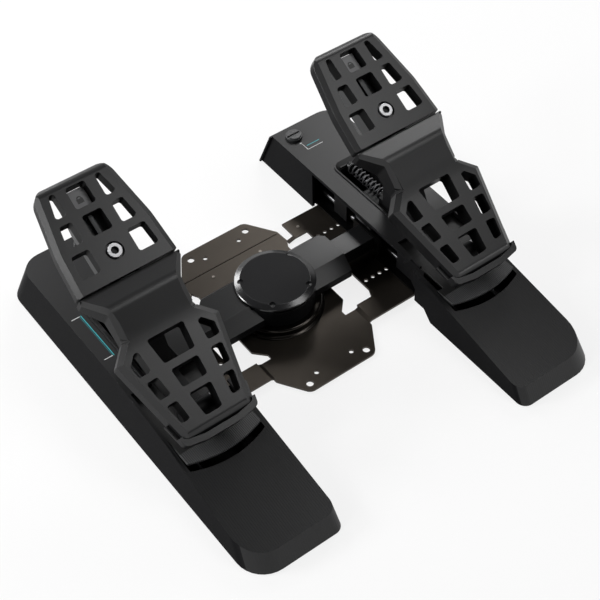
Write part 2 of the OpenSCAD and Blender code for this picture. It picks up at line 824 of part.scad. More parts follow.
module usb_socket() {
    foot_y = hub_r_in - hub_wall - gap;
    board_z = socket_z - socket_board_t;
    color("#b4b7ba") difference() {
        union() {
            block([-socket_half, hub_r_in - 2 * hub_wall, socket_z],
                [socket_half, hub_r - socket_wall, socket_z + socket_t]);
            block([-socket_board_half, foot_y - socket_board_back, board_z],
                [socket_board_half, foot_y, socket_z]);
            block([-socket_board_half, foot_y - socket_foot_t, pedestal_top],
                [socket_board_half, foot_y, board_z]);
        }
        block([-socket_half + socket_wall, hub_r_in, socket_z + socket_wall],
            [socket_half - socket_wall, hub_r + overrun, socket_z + socket_t - socket_wall]);
    }
}

module plate_rivets() {
    color("#6d655a") for (side = [-1, 1]) {
        translate([side * rivet_lobe_x, rivet_lobe_y, lobe_z + plate_t])
            cylinder(h = rivet_r / 2, r = rivet_r, $fn = 24);
        translate([side * rivet_wing_x, rivet_wing_y, wing_z + plate_t])
            cylinder(h = rivet_r / 2, r = rivet_r, $fn = 24);
    }
}

// Side covers, trays and feet

// Outline of a side cover at a height over the floor, drawn in by the given inset
function cover_plan(inset, rise) =
    let (
        lean = rise / cover_h,
        inner = cover_in_x + inset + cover_lean_in * lean,
        outer = cover_out_x - inset - cover_lean * lean,
        front = -cover_front + inset + heel_end_lean * rise / heel_end_h,
        rear = cover_rear - inset - rear_lean * lean
    )
    rounded([
        [inner, front, heel_r_in - inset], [outer, front, heel_r_out - inset],
        [outer, rear, rear_r_out - inset], [inner, rear, 0]]);

// Outer form of a side cover over the height low, drawn in by the given inset:
// walls lean from the floor outline to the top outline, under the long profile
module cover_form(inset, low) {
    fall = (heel_bend_h - heel_end_h) / (heel_top_y - heel_bend_y);
    end_z = heel_end_h - fall * (cover_front + overrun - heel_top_y);
    profile = [
        [-cover_front - overrun, low, 0],
        [-cover_front - overrun, end_z - inset, 0],
        [-heel_bend_y, heel_bend_h - inset, front_corner_r],
        [-flat_start_y, cover_h - inset, flat_corner_r],
        [cover_rear + overrun, cover_h - inset, 0],
        [cover_rear + overrun, low, 0]];
    intersection() {
        hull() {
            for (rise = [0, cover_h]) {
                translate([0, 0, rise]) linear_extrude(fit) polygon(cover_plan(inset, rise));
            }
        }
        along_x(cover_in_x - overrun, cover_out_x + overrun) polygon(rounded(profile));
    }
}

// What is cut from the inner side behind the slanting step
module step_cut(x, forward) {
    along_x(cover_in_x - overrun, x) polygon([
        [-step_low_y - forward, -overrun], [-step_high_y - forward, cover_h + overrun],
        [cover_rear + overrun, cover_h + overrun], [cover_rear + overrun, -overrun]]);
}

module cover_cavity(low) {
    difference() {
        cover_form(cover_wall, low);
        step_cut(step_x + cover_wall, cover_wall);
    }
}

// Plan of the post slot, open towards the front
module slot_outline(grow) {
    polygon(rounded([
        [cx - slot_in - grow, -open_rear_y - overrun, 0],
        [cx + slot_out + grow, -open_rear_y - overrun, 0],
        [cx + slot_out + grow, slot_rear_y + grow, slot_r + grow],
        [cx - slot_in - grow, slot_rear_y + grow, slot_r + grow]]));
}

module side_cover() {
    half = (open_out_x - open_in_x) / 2;
    middle = (open_out_x + open_in_x) / 2;
    front = bowed_edge(half, -open_front_y, open_bow);
    opening = concat([for (p = front) p + [middle, 0]],
        [[open_out_x, -open_rear_y], [open_rear_in_x, -open_rear_y],
        [open_rear_in_x, -open_step_y], [open_in_x, -open_step_y]]);
    slot_low = cover_h - slot_depth;
    cam_room = cover_wall + knob_cam_t + 2 * gap;
    color("#232426") difference() {
        union() {
            difference() {
                cover_form(0, foot_h);
                step_cut(step_x, 0);
            }
            along_x(step_x - fin_reach, step_x + overrun) polygon([
                [cover_rear - fin_t - foot_h / 2, foot_h], [cover_rear - foot_h / 2, foot_h],
                [rear_top_y, cover_h], [rear_top_y - fin_t, cover_h]]);
            translate([0, 0, cover_h - cover_wall]) linear_extrude(cover_wall + slot_rim) difference() {
                slot_outline(slot_slope + slot_rim);
                translate([cx - cover_in, -open_rear_y - cover_in]) square([2 * cover_in, cover_in]);
            }
        }
        difference() {
            cover_cavity(0);
            translate([0, 0, slot_low]) linear_extrude(slot_depth) difference() {
                slot_outline(slot_slope);
                translate([cx - cover_in, -open_rear_y - cover_in]) square([2 * cover_in, cover_in]);
            }
        }
        hull() {
            translate([0, 0, slot_low - overrun]) linear_extrude(overrun) slot_outline(0);
            translate([0, 0, cover_h + slot_rim]) linear_extrude(overrun) slot_outline(slot_slope);
        }
        translate([0, 0, heel_end_h]) linear_extrude(cover_h) polygon(opening);
        block([cover_in_x - overrun, -window_front, 0], [step_x + cover_wall + overrun, window_rear,
            window_h]);
        translate([knob_x, knob_y, cover_h - cam_room]) cylinder(h = cover_h, r = knob_shaft_r + fit,
            $fn = 48);
    }
    color("#232426") {
        block([cx - spring_r * 2, spring_rear, spring_z - spring_r - spring_wire],
            [cx + spring_r * 2, spring_rear + spring_wall_t, cover_h - cover_wall + fit]);
        rod_y(cx, spring_rear - spring_stub_l, spring_rear + overrun, spring_z, spring_stub_r);
    }
}

module bottom_tray() {
    margin = 2;
    color("#1c1d1f") difference() {
        intersection() {
            cover_cavity(0);
            block([cover_in_x, -cover_front, foot_h], [cover_out_x, cover_rear, tray_top]);
        }
        block([cover_in_x - overrun, -window_front - margin, 0],
            [notch_x, window_rear + margin, cover_h]);
    }
}

module rubber_feet() {
    inner = cover_in_x + heel_r_out;
    outer = cover_out_x - heel_r_out;
    rear = cover_rear - heel_r_out - foot_r;
    places = [
        [inner, -cover_front + heel_r_out], [outer, -cover_front + heel_r_out],
        [outer, 0], [inner, rear], [outer, rear]];
    color("#2e2e30") for (p = places) {
        translate([p.x, p.y, 0]) cylinder(h = foot_h, r = foot_r, $fn = 48);
    }
}

// Inner frame of a side, with the guide rods' end walls and the pinion's bearings
module chassis() {
    in_x = upright_x;
    out_x = cover_out_x - cover_wall - chassis_in;
    notch_end = notch_x + notch_margin;
    color("#777b80") difference() {
        union() {
            block([in_x, -rod_front, chassis_z], [out_x, rod_rear, chassis_top]);
            block([notch_end, -rod_front, tray_top], [out_x, rod_rear, chassis_z]);
            block([in_x, -rod_front, tray_top], [notch_end, -window_front - 2 * notch_margin, chassis_z]);
            block([in_x, window_rear + 2 * notch_margin, tray_top], [notch_end, rod_rear, chassis_z]);
            for (y = [-rod_front, rod_rear - rod_wall_t]) {
                block([cx - rod_x - rod_wall_half, y, chassis_z],
                    [cx + rod_x + rod_wall_half, y + rod_wall_t, rod_z + rod_r + chassis_t]);
            }
            block([in_x, sleeve_front - upright_margin, chassis_z],
                [in_x + upright_t, sleeve_front + sleeve_w + upright_margin,
                    sleeve_low + sleeve_h + chassis_t]);
            for (x = [cx - pinion_hub_in, cx + pinion_hub_gap]) {
                block([x, shaft_y - bearing_half, chassis_z],
                    [x + frame_t, shaft_y + bearing_half, rack_z - chassis_t]);
            }
        }
        rod_x(upright_x - overrun, upright_x + upright_t + overrun, shaft_y, shaft_z,
            journal_r + 2 * overrun);
        rod_x(cx - pinion_hub_in - overrun, cx + pinion_hub_gap + frame_t + overrun,
            shaft_y, shaft_z, pinion_hub_r() + fit);
        for (side = [-1, 1]) {
            rod_y(cx + side * rod_x, -rod_front - overrun, rod_rear + overrun, rod_z, rod_r);
        }
    }
}

function pinion_hub_r() = hex_r + pinion_hub_wall;

module guide_rods() {
    color("#c3c6c9") for (side = [-1, 1]) {
        rod_y(cx + side * rod_x, -rod_front, rod_rear, rod_z, rod_r);
    }
}

module arm_sleeve() {
    color("#2b2c2f") difference() {
        block([sleeve_start, sleeve_front, sleeve_low],
            [upright_x, sleeve_front + sleeve_w, sleeve_low + sleeve_h]);
        block([sleeve_start - overrun, sleeve_front + sleeve_wall, sleeve_low + sleeve_wall],
            [upright_x + overrun, sleeve_front + sleeve_w - sleeve_wall,
                sleeve_low + sleeve_h - sleeve_wall]);
    }
}

module pinion() {
    gear_x = cx - rack_in - gap;
    color("#8f9397") difference() {
        union() {
            gear_on_x(gear_x, gear_x + pinion_face, shaft_y, shaft_z, rack_module, pinion_teeth, 90);
            rod_x(cx - pinion_hub_in, cx + pinion_hub_gap + frame_t, shaft_y, shaft_z, pinion_hub_r());
            rod_x(cx - pinion_hub_in + frame_t + gap, cx + pinion_hub_gap - gap,
                shaft_y, shaft_z, pinion_hub_r() + pinion_rim);
        }
        translate([cx - pinion_hub_in - overrun, shaft_y, shaft_z]) rotate([0, 90, 0])
            cylinder(h = 2 * pinion_hub_in, r = hex_r + fit * 3, $fn = 6);
    }
}

module tension_knob() {
    top = cover_h + fit * 2;
    cam_top = cover_h - cover_wall - gap;
    color("#4a4c4f") difference() {
        union() {
            translate([knob_x, knob_y, top]) cylinder(h = knob_h - knob_step, r = knob_r, $fn = 64);
            translate([knob_x, knob_y, top]) cylinder(h = knob_h, r = knob_r - knob_step, $fn = 64);
            translate([knob_x, knob_y, cam_top - knob_cam_t - overrun])
                cylinder(h = cover_h - cam_top + knob_cam_t + 2 * overrun, r = knob_shaft_r, $fn = 48);
            translate([knob_x, knob_y + knob_slot_half, cam_top - knob_cam_t])
                cylinder(h = knob_cam_t, r = knob_cam_r, $fn = 48);
        }
        block([knob_x - knob_r, knob_y - knob_slot_half, top + knob_h - knob_step],
            [knob_x + knob_r, knob_y + knob_slot_half, cover_h + 2 * knob_h]);
    }
}

// Carriage and what rides on it

module carriage() {
    legs = [[-rail_front, -rail_front + front_leg], [rail_rear - rear_leg, rail_rear]];
    color("#34363a") difference() {
        union() {
            block([cx - deck_half, -deck_front, deck_z], [cx + deck_half, deck_rear, slide_z]);
            for (side = [-1, 1]) {
                x = cx + side * rod_x;
                block([x - leg_w / 2, -rail_front, rail_low], [x + leg_w / 2, rail_rear, rail_top]);
                for (leg = legs) {
                    block([x - leg_w / 2, leg[0], leg_low], [x + leg_w / 2, leg[1], rail_low]);
                }
            }
            block([cx - hook_half, tower_rear + gap, deck_z],
                [cx + hook_half, deck_rear, spring_z + spring_stub_r]);
            rod_y(cx, deck_rear - overrun, deck_rear + spring_stub_l, spring_z, spring_stub_r);
        }
        block([cx - rack_in, -cover_rear, deck_z - overrun],
            [cx - rack_out, cover_rear, deck_z + rack_sink]);
        for (side = [-1, 1]) {
            rod_y(cx + side * rod_x, -cover_rear, cover_rear, rod_z, rod_r + bush_wall);
        }
    }
}

module guide_bushes() {
    legs = [[-rail_front, -rail_front + front_leg], [rail_rear - rear_leg, rail_rear]];
    color("#b08d57") for (side = [-1, 1], leg = legs) {
        difference() {
            rod_y(cx + side * rod_x, leg[0], leg[1], rod_z, rod_r + bush_wall);
            rod_y(cx + side * rod_x, -cover_rear, cover_rear, rod_z, rod_r + fit);
        }
    }
}

// Toothed bar under the deck, with a gap over the pinion's upper tooth
module rack() {
    pitch = rack_module * PI;
    tooth_share = 0.22;
    count = ceil(pedal_travel / pitch) + 2;
    half_low = pitch * tooth_share - rack_module * tan(pressure_angle);
    half_high = pitch * tooth_share + rack_module * tan(pressure_angle);
    root = rack_z + rack_module * 1.1;
    tip = rack_z - rack_module * 0.9;
    end = (count + 0.5) * pitch;
    color("#9b9ea2") {
        block([cx - rack_in, shaft_y - end, root], [cx - rack_out, shaft_y + end, deck_z + rack_sink]);
        along_x(cx - rack_in, cx - rack_out) for (i = [-count:count - 1]) {
            y = shaft_y + (i + 0.5) * pitch;
            polygon([
                [y - half_high, root + fit], [y - half_low, tip], [y + half_low, tip],
                [y + half_high, root + fit]]);
        }
    }
}

// Plate that closes the top opening and rides with the pedal
module slide_cover() {
    half = (slide_out_x - slide_wide_in_x) / 2;
    middle = (slide_out_x + slide_wide_in_x) / 2;
    front = [for (p = bowed_edge(half, -slide_front, slide_bow)) p + [middle, 0]];
    color("#1e1f21") difference() {
        translate([0, 0, slide_z]) linear_extrude(slide_t) polygon(concat(front, [
            [slide_out_x, -slide_rear], [slide_in_x, -slide_rear],
            [slide_in_x, -slide_step_y], [slide_wide_in_x, -slide_step_y]]));
        block([cx - foot_half - fit, -foot_front - fit, 0], [cx + foot_half + fit, 0, cover_h]);
    }
}

// Post that carries the pedal's tilt axle in front and stops the pedal with its tower
module pedal_post() {
    low = slide_z + foot_rise;
    top = slide_z + tower_h;
    rib_low = top - post_rib_room;
    side = rounded([
        [-foot_front, slide_z, 0], [tower_rear, slide_z, 0], [tower_rear, top, tower_r],
        [-tower_front, top, tower_r], [-tower_front, rib_low, tower_r],
        [-tower_front - foot_rise, rib_low - post_ledge, tower_r],
        [-tower_front - post_r, top - 2 * post_rib_room, post_r],
        [-tower_front - 2 * post_r, low + foot_rise, post_r],
        [axle_y + boss_r, low + foot_rise, boss_r / 2],
        [axle_y + boss_r * cos(boss_angle), axle_z + boss_r * sin(boss_angle), 0],
        [axle_y - boss_r * cos(boss_angle), axle_z + boss_r * sin(boss_angle), 0],
        [-foot_front, low + foot_rise, foot_rise / 2]]);
    color("#2a2b2e") difference() {
        union() {
            along_x(cx - post_half, cx + post_half) polygon(side);
            rod_x(cx - post_half, cx + post_half, axle_y, axle_z, boss_r);
            block([cx - foot_half, -foot_front, slide_z], [cx + foot_half, tower_rear, low]);
        }
        rod_x(cx - pedal_y, cx + pedal_y, axle_y, axle_z, axle_r + fit);
    }
}

// Steel wire wound round the Y axis, with both ends bent straight along it.
// Each station is [turn angle, place along Y, direction of the wire, stretch].
module return_spring() {
    rings = 8;
    sides = 6;
    n = ceil(spring_turns * rings);
    tail = 2 * spring_wire;
    low = spring_front + tail;
    pitch = (spring_rear - spring_front - 2 * tail) / spring_turns;
    tilt = atan(pitch / (2 * PI * spring_r));
    bend = (90 + tilt) / 2;
    stretch = 1 / cos((90 - tilt) / 2);
    last = 360 * n / rings;
    stations = concat(
        [[0, spring_front, 90, 1], [0, low, bend, stretch]],
        [for (i = [1:n - 1]) [360 * i / rings, low + pitch * i / rings, tilt, 1]],
        [[last, spring_rear - tail, bend, stretch], [last, spring_rear, 90, 1]]);
    points = [for (s = stations, k = [0:sides - 1])
        let (
            out = [sin(s[0]), 0, cos(s[0])],
            up = [-cos(s[0]) * sin(s[2]), cos(s[2]), sin(s[0]) * sin(s[2])],
            at = spring_r * out + [0, s[1], 0]
        )
        at + spring_wire * (cos(360 * k / sides) * out + s[3] * sin(360 * k / sides) * up)];
    count = len(stations);
    apart = floor(rings / 2) * sides;
    echo(least_wire_gap = min([for (i = [0:len(points) - 1 - apart], j = [i + apart:len(points) - 1])
        norm(points[i] - points[j])]));
    wall = [for (i = [0:count - 2], k = [0:sides - 1])
        let (a = i * sides + k, b = i * sides + (k + 1) % sides)
        each [[a, b, b + sides], [a, b + sides, a + sides]]];
    top = (count - 1) * sides;
    caps = concat(
        [for (k = [1:sides - 2]) [0, k + 1, k]],
        [for (k = [1:sides - 2]) [top, top + k, top + k + 1]]);
    color("#b9bcc0") translate([cx, 0, spring_z]) polyhedron(points, concat(wall, caps));
}

// Torsion spring round the tilt axle, drawn as the sleeve that it fills
module brake_spring() {
    color("#aeb1b5") for (side = [-1, 1]) {
        sided_at_pedal(side) difference() {
            rod_x(post_half, coil_end, axle_y, axle_z, coil_r);
            rod_x(post_half - overrun, coil_end + overrun, axle_y, axle_z, axle_r + gap);
        }
    }
}

// Mirrors a piece about the pedal's middle plane
module sided_at_pedal(side) {
    translate([cx, 0, 0]) sided(side) children();
}

// Pedal: body with heel plate and waist, toe plate, arm, screw and axle

// Lower corners of the body's half outline, drawn in by the given inset
function heel_corners(inset) = [
    [heel_low_half * heel_middle_share, -heel_end_v + inset, heel_end_r],
    [heel_low_half + heel_corner_out - inset, -heel_corner_v + inset, heel_corner_r],
    [heel_wide_half - inset, shoulder_v, shoulder_corner_r]];

// Upper corners of the body's half outline: waist and toe end
function waist_corners(inset) = [
    [waist_half - inset, waist_low_v, waist_r],
    [waist_half - inset, waist_high_v, waist_r],
    [toe_low_half - inset, toe_corner_v - inset / 2, toe_corner_r],
    [toe_low_half - inset, toe_gap - plates_gap / 2 - inset, 0]];

function body_outline(inset) = both_halves(concat(heel_corners(inset), waist_corners(inset)));

module body_form(inset, low) {
    intersection() {
        translate([0, 0, -2 * skirt_d]) linear_extrude(4 * skirt_d) polygon(rounded(body_outline(inset)));
        along_x(-heel_wide_half - overrun, heel_wide_half + overrun) polygon(rounded([
            [-heel_end_v - nose_room, low, 0], [-heel_end_v - nose_room, -nose_d, 0],
            [-heel_corner_v, -inset, nose_r], [ridge_start_v, -inset, ridge_start_r],
            [ridge_v, ridge_h - inset, ridge_r], [toe_gap, -toe_drop - inset, 0], [toe_gap, low, 0]]));
    }
}

module hole_outline(points) {
    polygon(rounded([for (p = points) [p.x, p.y, hole_r]]));
}

// Holes given as shares of a half width and a length that starts at the place v
module hole_rows(middles, sides, half, v, length) {
    for (m = middles) {
        low = v + m[0] * length;
        high = v + m[1] * length;
        hole_outline([
            [-m[2] * half, low], [m[2] * half, low], [m[3] * half, high], [-m[3] * half, high]]);
    }
    for (side = [-1, 1], corners = sides) {
        sided(side) hole_outline([for (c = corners) [c.x * half, v + c.y * length]]);
    }
}

// Bevel cut along the straight edge from a to b, with the form on its left
module edge_bevel(a, b) {
    run = b - a;
    flat_run = norm([run.x, run.y]);
    translate(a) rotate([0, 0, atan2(run.y, run.x)]) rotate([0, -atan2(run.z, flat_run), 0])
        rotate([90, 0, 90]) translate([0, 0, -bevel_w / 2]) linear_extrude(norm(run) + bevel_w)
            polygon([[-bevel_w, -2 * bevel_d], [bevel_w, 0], [bevel_w, bevel_d * 2],
                [-bevel_w, bevel_d * 2]]);
}

module pedal_body() {
    edge = heel_corners(0);
    waist = waist_corners(0);
    heel_low = [edge[1].x, edge[1].y, 0];
    heel_high = [edge[2].x, edge[2].y, 0];
    waist_low = [waist[0].x, waist[0].y, 0];
    waist_high = [waist[1].x, waist[1].y, ridge_h];
    toe_corner = [waist[2].x, waist[2].y, 0];
    color("#2c2d2f") on_pedal() {
        difference() {
            union() {
                difference() {
                    body_form(0, -skirt_d);
                    intersection() {
                        body_form(skirt_wall, -skirt_d - overrun);
                        translate([-toe_end, ridge_start_v + skirt_wall, -2 * skirt_d])
                            cube([2 * toe_end, toe_end, 3 * skirt_d]);
                        along_x(-toe_end, toe_end) polygon([
                            [ridge_start_v, -3 * skirt_d], [ridge_start_v, -skin_t],
                            [ridge_start_v + skirt_wall, -skin_t],
                            [ridge_v, ridge_h - skin_t], [toe_gap, -skin_t - skirt_wall],
                            [toe_gap, -3 * skirt_d]]);
                    }
                }
                for (side = [-1, 1]) {
                    sided(side) along_x(lug_in, lug_in + lug_t) polygon(rounded([
                        [axle_v - lug_r, -axle_d - lug_r, lug_r * lug_round_share],
                        [axle_v + lug_r, -axle_d - lug_r, lug_r * lug_round_share],
                        [axle_v + lug_r, -skirt_d + skirt_wall, 0],
                        [axle_v - lug_r, -skirt_d + skirt_wall, 0]]));
                }
            }
            translate([0, 0, -2 * skirt_d]) linear_extrude(2 * skirt_d + ridge_h)
                hole_rows(heel_middle_shares, heel_side_shares, heel_wide_half, 0, shoulder_v);
            translate([0, 0, -lip_z - 2 * skirt_d]) linear_extrude(2 * skirt_d) intersection() {
                difference() {
                    polygon(rounded(body_outline(-overrun)));
                    polygon(rounded(body_outline(skirt_wall)));
                }
                translate([-2 * heel_low_half, -2 * skirt_d]) square([4 * heel_low_half,
                    2 * skirt_d - axle_back]);
            }
            for (side = [-1, 1]) {
                sided(side) {
                    edge_bevel(heel_low, heel_high);
                    edge_bevel(heel_high, waist_low);
                    edge_bevel(waist_low, waist_high);
                    edge_bevel(waist_high, toe_corner);
                }
            }
            rod_x(-toe_end, toe_end, axle_v, -axle_d, axle_r);
        }
    }
}

module tilt_axle() {
    color("#b7babd") on_pedal() rod_x(-lug_in - lug_t, lug_in + lug_t, axle_v, -axle_d, axle_r);
}

function toe_outline(inset) = both_halves([
    [toe_low_half - inset, toe_gap + plates_gap / 2 + inset, toe_corner_r],
    [toe_low_half - toe_side_in - inset, toe_side_v, toe_side_r],
    [toe_high_half - inset, toe_end - inset, toe_end_r - inset]]);

module toe_plate() {
    corner = [toe_low_half, toe_gap, 0];
    bend = [toe_low_half - toe_side_in, toe_side_v, 0];
    end = [toe_high_half, toe_end, 0];
    color("#2c2d2f") on_pedal() difference() {
        intersection() {
            translate([0, 0, -toe_skirt_d]) linear_extrude(toe_skirt_d) polygon(rounded(toe_outline(0)));
            along_x(-toe_low_half, toe_low_half) polygon(rounded([
                [toe_gap, -toe_skirt_d, 0], [toe_gap, 0, 0], [toe_end, 0, toe_roll_r],
                [toe_end, -toe_skirt_d, 0]]));
        }
        for (side = [-1, 1]) {
            sided(side) edge_bevel(corner, bend);
            sided(side) edge_bevel(bend, end);
        }
        translate([0, 0, -toe_skirt_d - overrun]) linear_extrude(2 * toe_skirt_d)
            hole_rows(toe_middle_shares, toe_side_shares, toe_low_half, toe_gap, toe_end - toe_gap);
        translate([0, screw_v, -toe_skirt_d]) cylinder(h = 2 * toe_skirt_d, r = screw_hole_r, $fn = 48);
        translate([0, screw_v, -screw_sink]) cylinder(h = toe_skirt_d,
            r = screw_head_r + screw_seat_gap, $fn = 48);
        translate([-spine_half - gap, toe_gap, -2 * toe_skirt_d])
            cube([2 * (spine_half + gap), screw_v + 2 * screw_head_r - toe_gap,
                2 * toe_skirt_d - skin_t]);
        translate([-ridge_half - gap, toe_gap, -2 * toe_skirt_d])
            cube([2 * (ridge_half + gap), pad_low_v - toe_gap, 2 * toe_skirt_d - ridge_room_d]);
    }
}

// Deep arm under the toe plate, with the screw's seat and a ridge up to the lock's pad
module toe_arm() {
    foot = toe_gap - plates_gap / 2;
    seat_end = screw_v + 2 * screw_head_r - gap;
    color("#55575a") on_pedal() difference() {
        union() {
            along_x(-arm_half, arm_half) polygon(rounded([
                [foot, -arm_top_d, 0], [foot, -arm_deep + arm_heel, arm_round],
                [foot + arm_heel_run, -arm_deep, arm_heel], [toe_end - arm_taper, -arm_deep, arm_taper_r],
                [toe_end - arm_end_back, -arm_deep + arm_end_rise, arm_round],
                [toe_end - arm_end_rise, -arm_top_d, 0]]));
            block([-spine_half, foot, -arm_top_d - overrun], [spine_half, seat_end, -skin_t]);
            block([-ridge_half, seat_end - overrun, -arm_top_d - overrun],
                [ridge_half, pad_low_v, -pad_top_d]);
        }
        translate([0, screw_v, -arm_deep + screw_bed]) cylinder(h = arm_deep, r = screw_r, $fn = 48);
    }
}

// Sliding lock seen through the uppermost hole
module toe_lock() {
    color("#8e9194") on_pedal() block([-pad_half, pad_low_v, -arm_top_d],
        [pad_half, pad_high_v, -pad_top_d]);
}

module toe_screw() {
    color("#d0d2d4") on_pedal() translate([0, screw_v, 0]) difference() {
        union() {
            translate([0, 0, -screw_sink]) cylinder(h = screw_sink + screw_proud, r = screw_head_r,
                $fn = 48);
            translate([0, 0, -screw_length]) cylinder(h = screw_length, r = screw_r, $fn = 48);
        }
        translate([0, 0, screw_proud - screw_socket_d]) cylinder(h = screw_length, r = screw_socket_r,
            $fn = 6);
    }
}

// Outline of the second lip outside the body's outline, up to the place high
module lip_plan(inset, high) {
    intersection() {
        difference() {
            translate([0, -lip_reach]) polygon(rounded(body_outline(-lip_out)));
            polygon(rounded(body_outline(inset)));
        }
        translate([-2 * heel_low_half, high - 2 * skirt_d]) square([4 * heel_low_half, 2 * skirt_d]);
    }
}

// Second lip round the lower end of the heel plate, raised to a bumper at its end
module heel_lip() {
    low = -lip_z - gap - lip_t;
    color("#303133") on_pedal() translate([0, 0, low]) {
        linear_extrude(lip_t) lip_plan(skirt_wall, -axle_back - gap);
        linear_extrude(-low - bumper_drop) lip_plan(-gap, bumper_from_v - heel_corner_v);
    }
}

base_plate();
hub_pedestal();
hub_housing();
hub_cap();
gear_frame();
idler_gear(1, idler_a_phase);  // idler_gear_upper
idler_gear(-1, idler_b_phase);  // idler_gear_lower
sensor_board();
usb_socket();
plate_rivets();
drive_shaft(right_gear_phase);  // right_drive_shaft
sided(-1) drive_shaft(left_gear_phase);  // left_drive_shaft
side_cover();  // right_side_cover
sided(-1) side_cover();  // left_side_cover
bottom_tray();  // right_bottom_tray
sided(-1) bottom_tray();  // left_bottom_tray
rubber_feet();  // right_rubber_feet
sided(-1) rubber_feet();  // left_rubber_feet
chassis();  // right_chassis
sided(-1) chassis();  // left_chassis
guide_rods();  // right_guide_rods
sided(-1) guide_rods();  // left_guide_rods
arm_sleeve();  // right_arm_sleeve
sided(-1) arm_sleeve();  // left_arm_sleeve
return_spring();  // right_return_spring
sided(-1) return_spring();  // left_return_spring
tension_knob();  // right_tension_knob
sided(-1) tension_knob();  // left_tension_knob
pinion();  // right_pinion
sided(-1) pinion();  // left_pinion
carriage();  // right_carriage
sided(-1) carriage();  // left_carriage
guide_bushes();  // right_guide_bushes
sided(-1) guide_bushes();  // left_guide_bushes
rack();  // right_rack
sided(-1) rack();  // left_rack
slide_cover();  // right_slide_cover
sided(-1) slide_cover();  // left_slide_cover
pedal_post();  // right_pedal_post
sided(-1) pedal_post();  // left_pedal_post
brake_spring();  // right_brake_spring
sided(-1) brake_spring();  // left_brake_spring
pedal_body();  // right_pedal_body
sided(-1) pedal_body();  // left_pedal_body
tilt_axle();  // right_tilt_axle
sided(-1) tilt_axle();  // left_tilt_axle
toe_arm();  // right_toe_arm
sided(-1) toe_arm();  // left_toe_arm
toe_lock();  // right_toe_lock
sided(-1) toe_lock();  // left_toe_lock
toe_plate();  // right_toe_plate
sided(-1) toe_plate();  // left_toe_plate
toe_screw();  // right_toe_screw
sided(-1) toe_screw();  // left_toe_screw
heel_lip();  // right_heel_lip
sided(-1) heel_lip();  // left_heel_lip
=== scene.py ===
"""Looks of the flight simulator rudder pedals, put together from the floor plate up."""

import json
import math

import bmesh
import bpy
import numpy as np
from mathutils import Matrix, Vector


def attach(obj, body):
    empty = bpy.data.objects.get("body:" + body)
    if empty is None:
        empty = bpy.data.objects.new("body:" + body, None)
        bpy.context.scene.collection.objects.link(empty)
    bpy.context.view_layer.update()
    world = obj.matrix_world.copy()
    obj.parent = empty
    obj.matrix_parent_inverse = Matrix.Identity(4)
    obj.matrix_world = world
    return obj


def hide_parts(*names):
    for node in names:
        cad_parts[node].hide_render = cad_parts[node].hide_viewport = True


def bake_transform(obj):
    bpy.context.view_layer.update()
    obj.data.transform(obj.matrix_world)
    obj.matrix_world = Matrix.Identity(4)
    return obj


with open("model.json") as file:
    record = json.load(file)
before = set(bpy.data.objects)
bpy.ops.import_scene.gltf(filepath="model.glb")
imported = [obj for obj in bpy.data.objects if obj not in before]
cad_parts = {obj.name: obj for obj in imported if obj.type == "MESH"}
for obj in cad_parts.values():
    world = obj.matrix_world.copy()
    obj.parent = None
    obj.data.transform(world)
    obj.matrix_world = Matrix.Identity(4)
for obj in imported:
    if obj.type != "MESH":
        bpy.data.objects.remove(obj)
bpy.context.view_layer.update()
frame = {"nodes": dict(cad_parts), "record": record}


# Floor plate: bent sheet steel under a satin bronze-grey coat. It is punched
# from one blank, its wings are set a step up, and it carries hub and sides.

class Wire:
    """One shader socket; + - * and comparisons on it add Math nodes behind it."""

    def __init__(self, finish, socket):
        self.finish = finish
        self.socket = socket

    def maths(self, operation, *others):
        inputs = dict(enumerate((self, *others)))
        return self.finish.add("ShaderNodeMath", {"operation": operation}, inputs)

    def __add__(self, other):
        return self.maths("ADD", other)

    def __sub__(self, other):
        return self.maths("SUBTRACT", other)

    def __mul__(self, other):
        return self.maths("MULTIPLY", other)

    def __gt__(self, other):
        return self.maths("GREATER_THAN", other)

    def __lt__(self, other):
        return self.maths("LESS_THAN", other)

    def __abs__(self):
        return self.maths("ABSOLUTE")

    def sine(self):
        return self.maths("SINE")


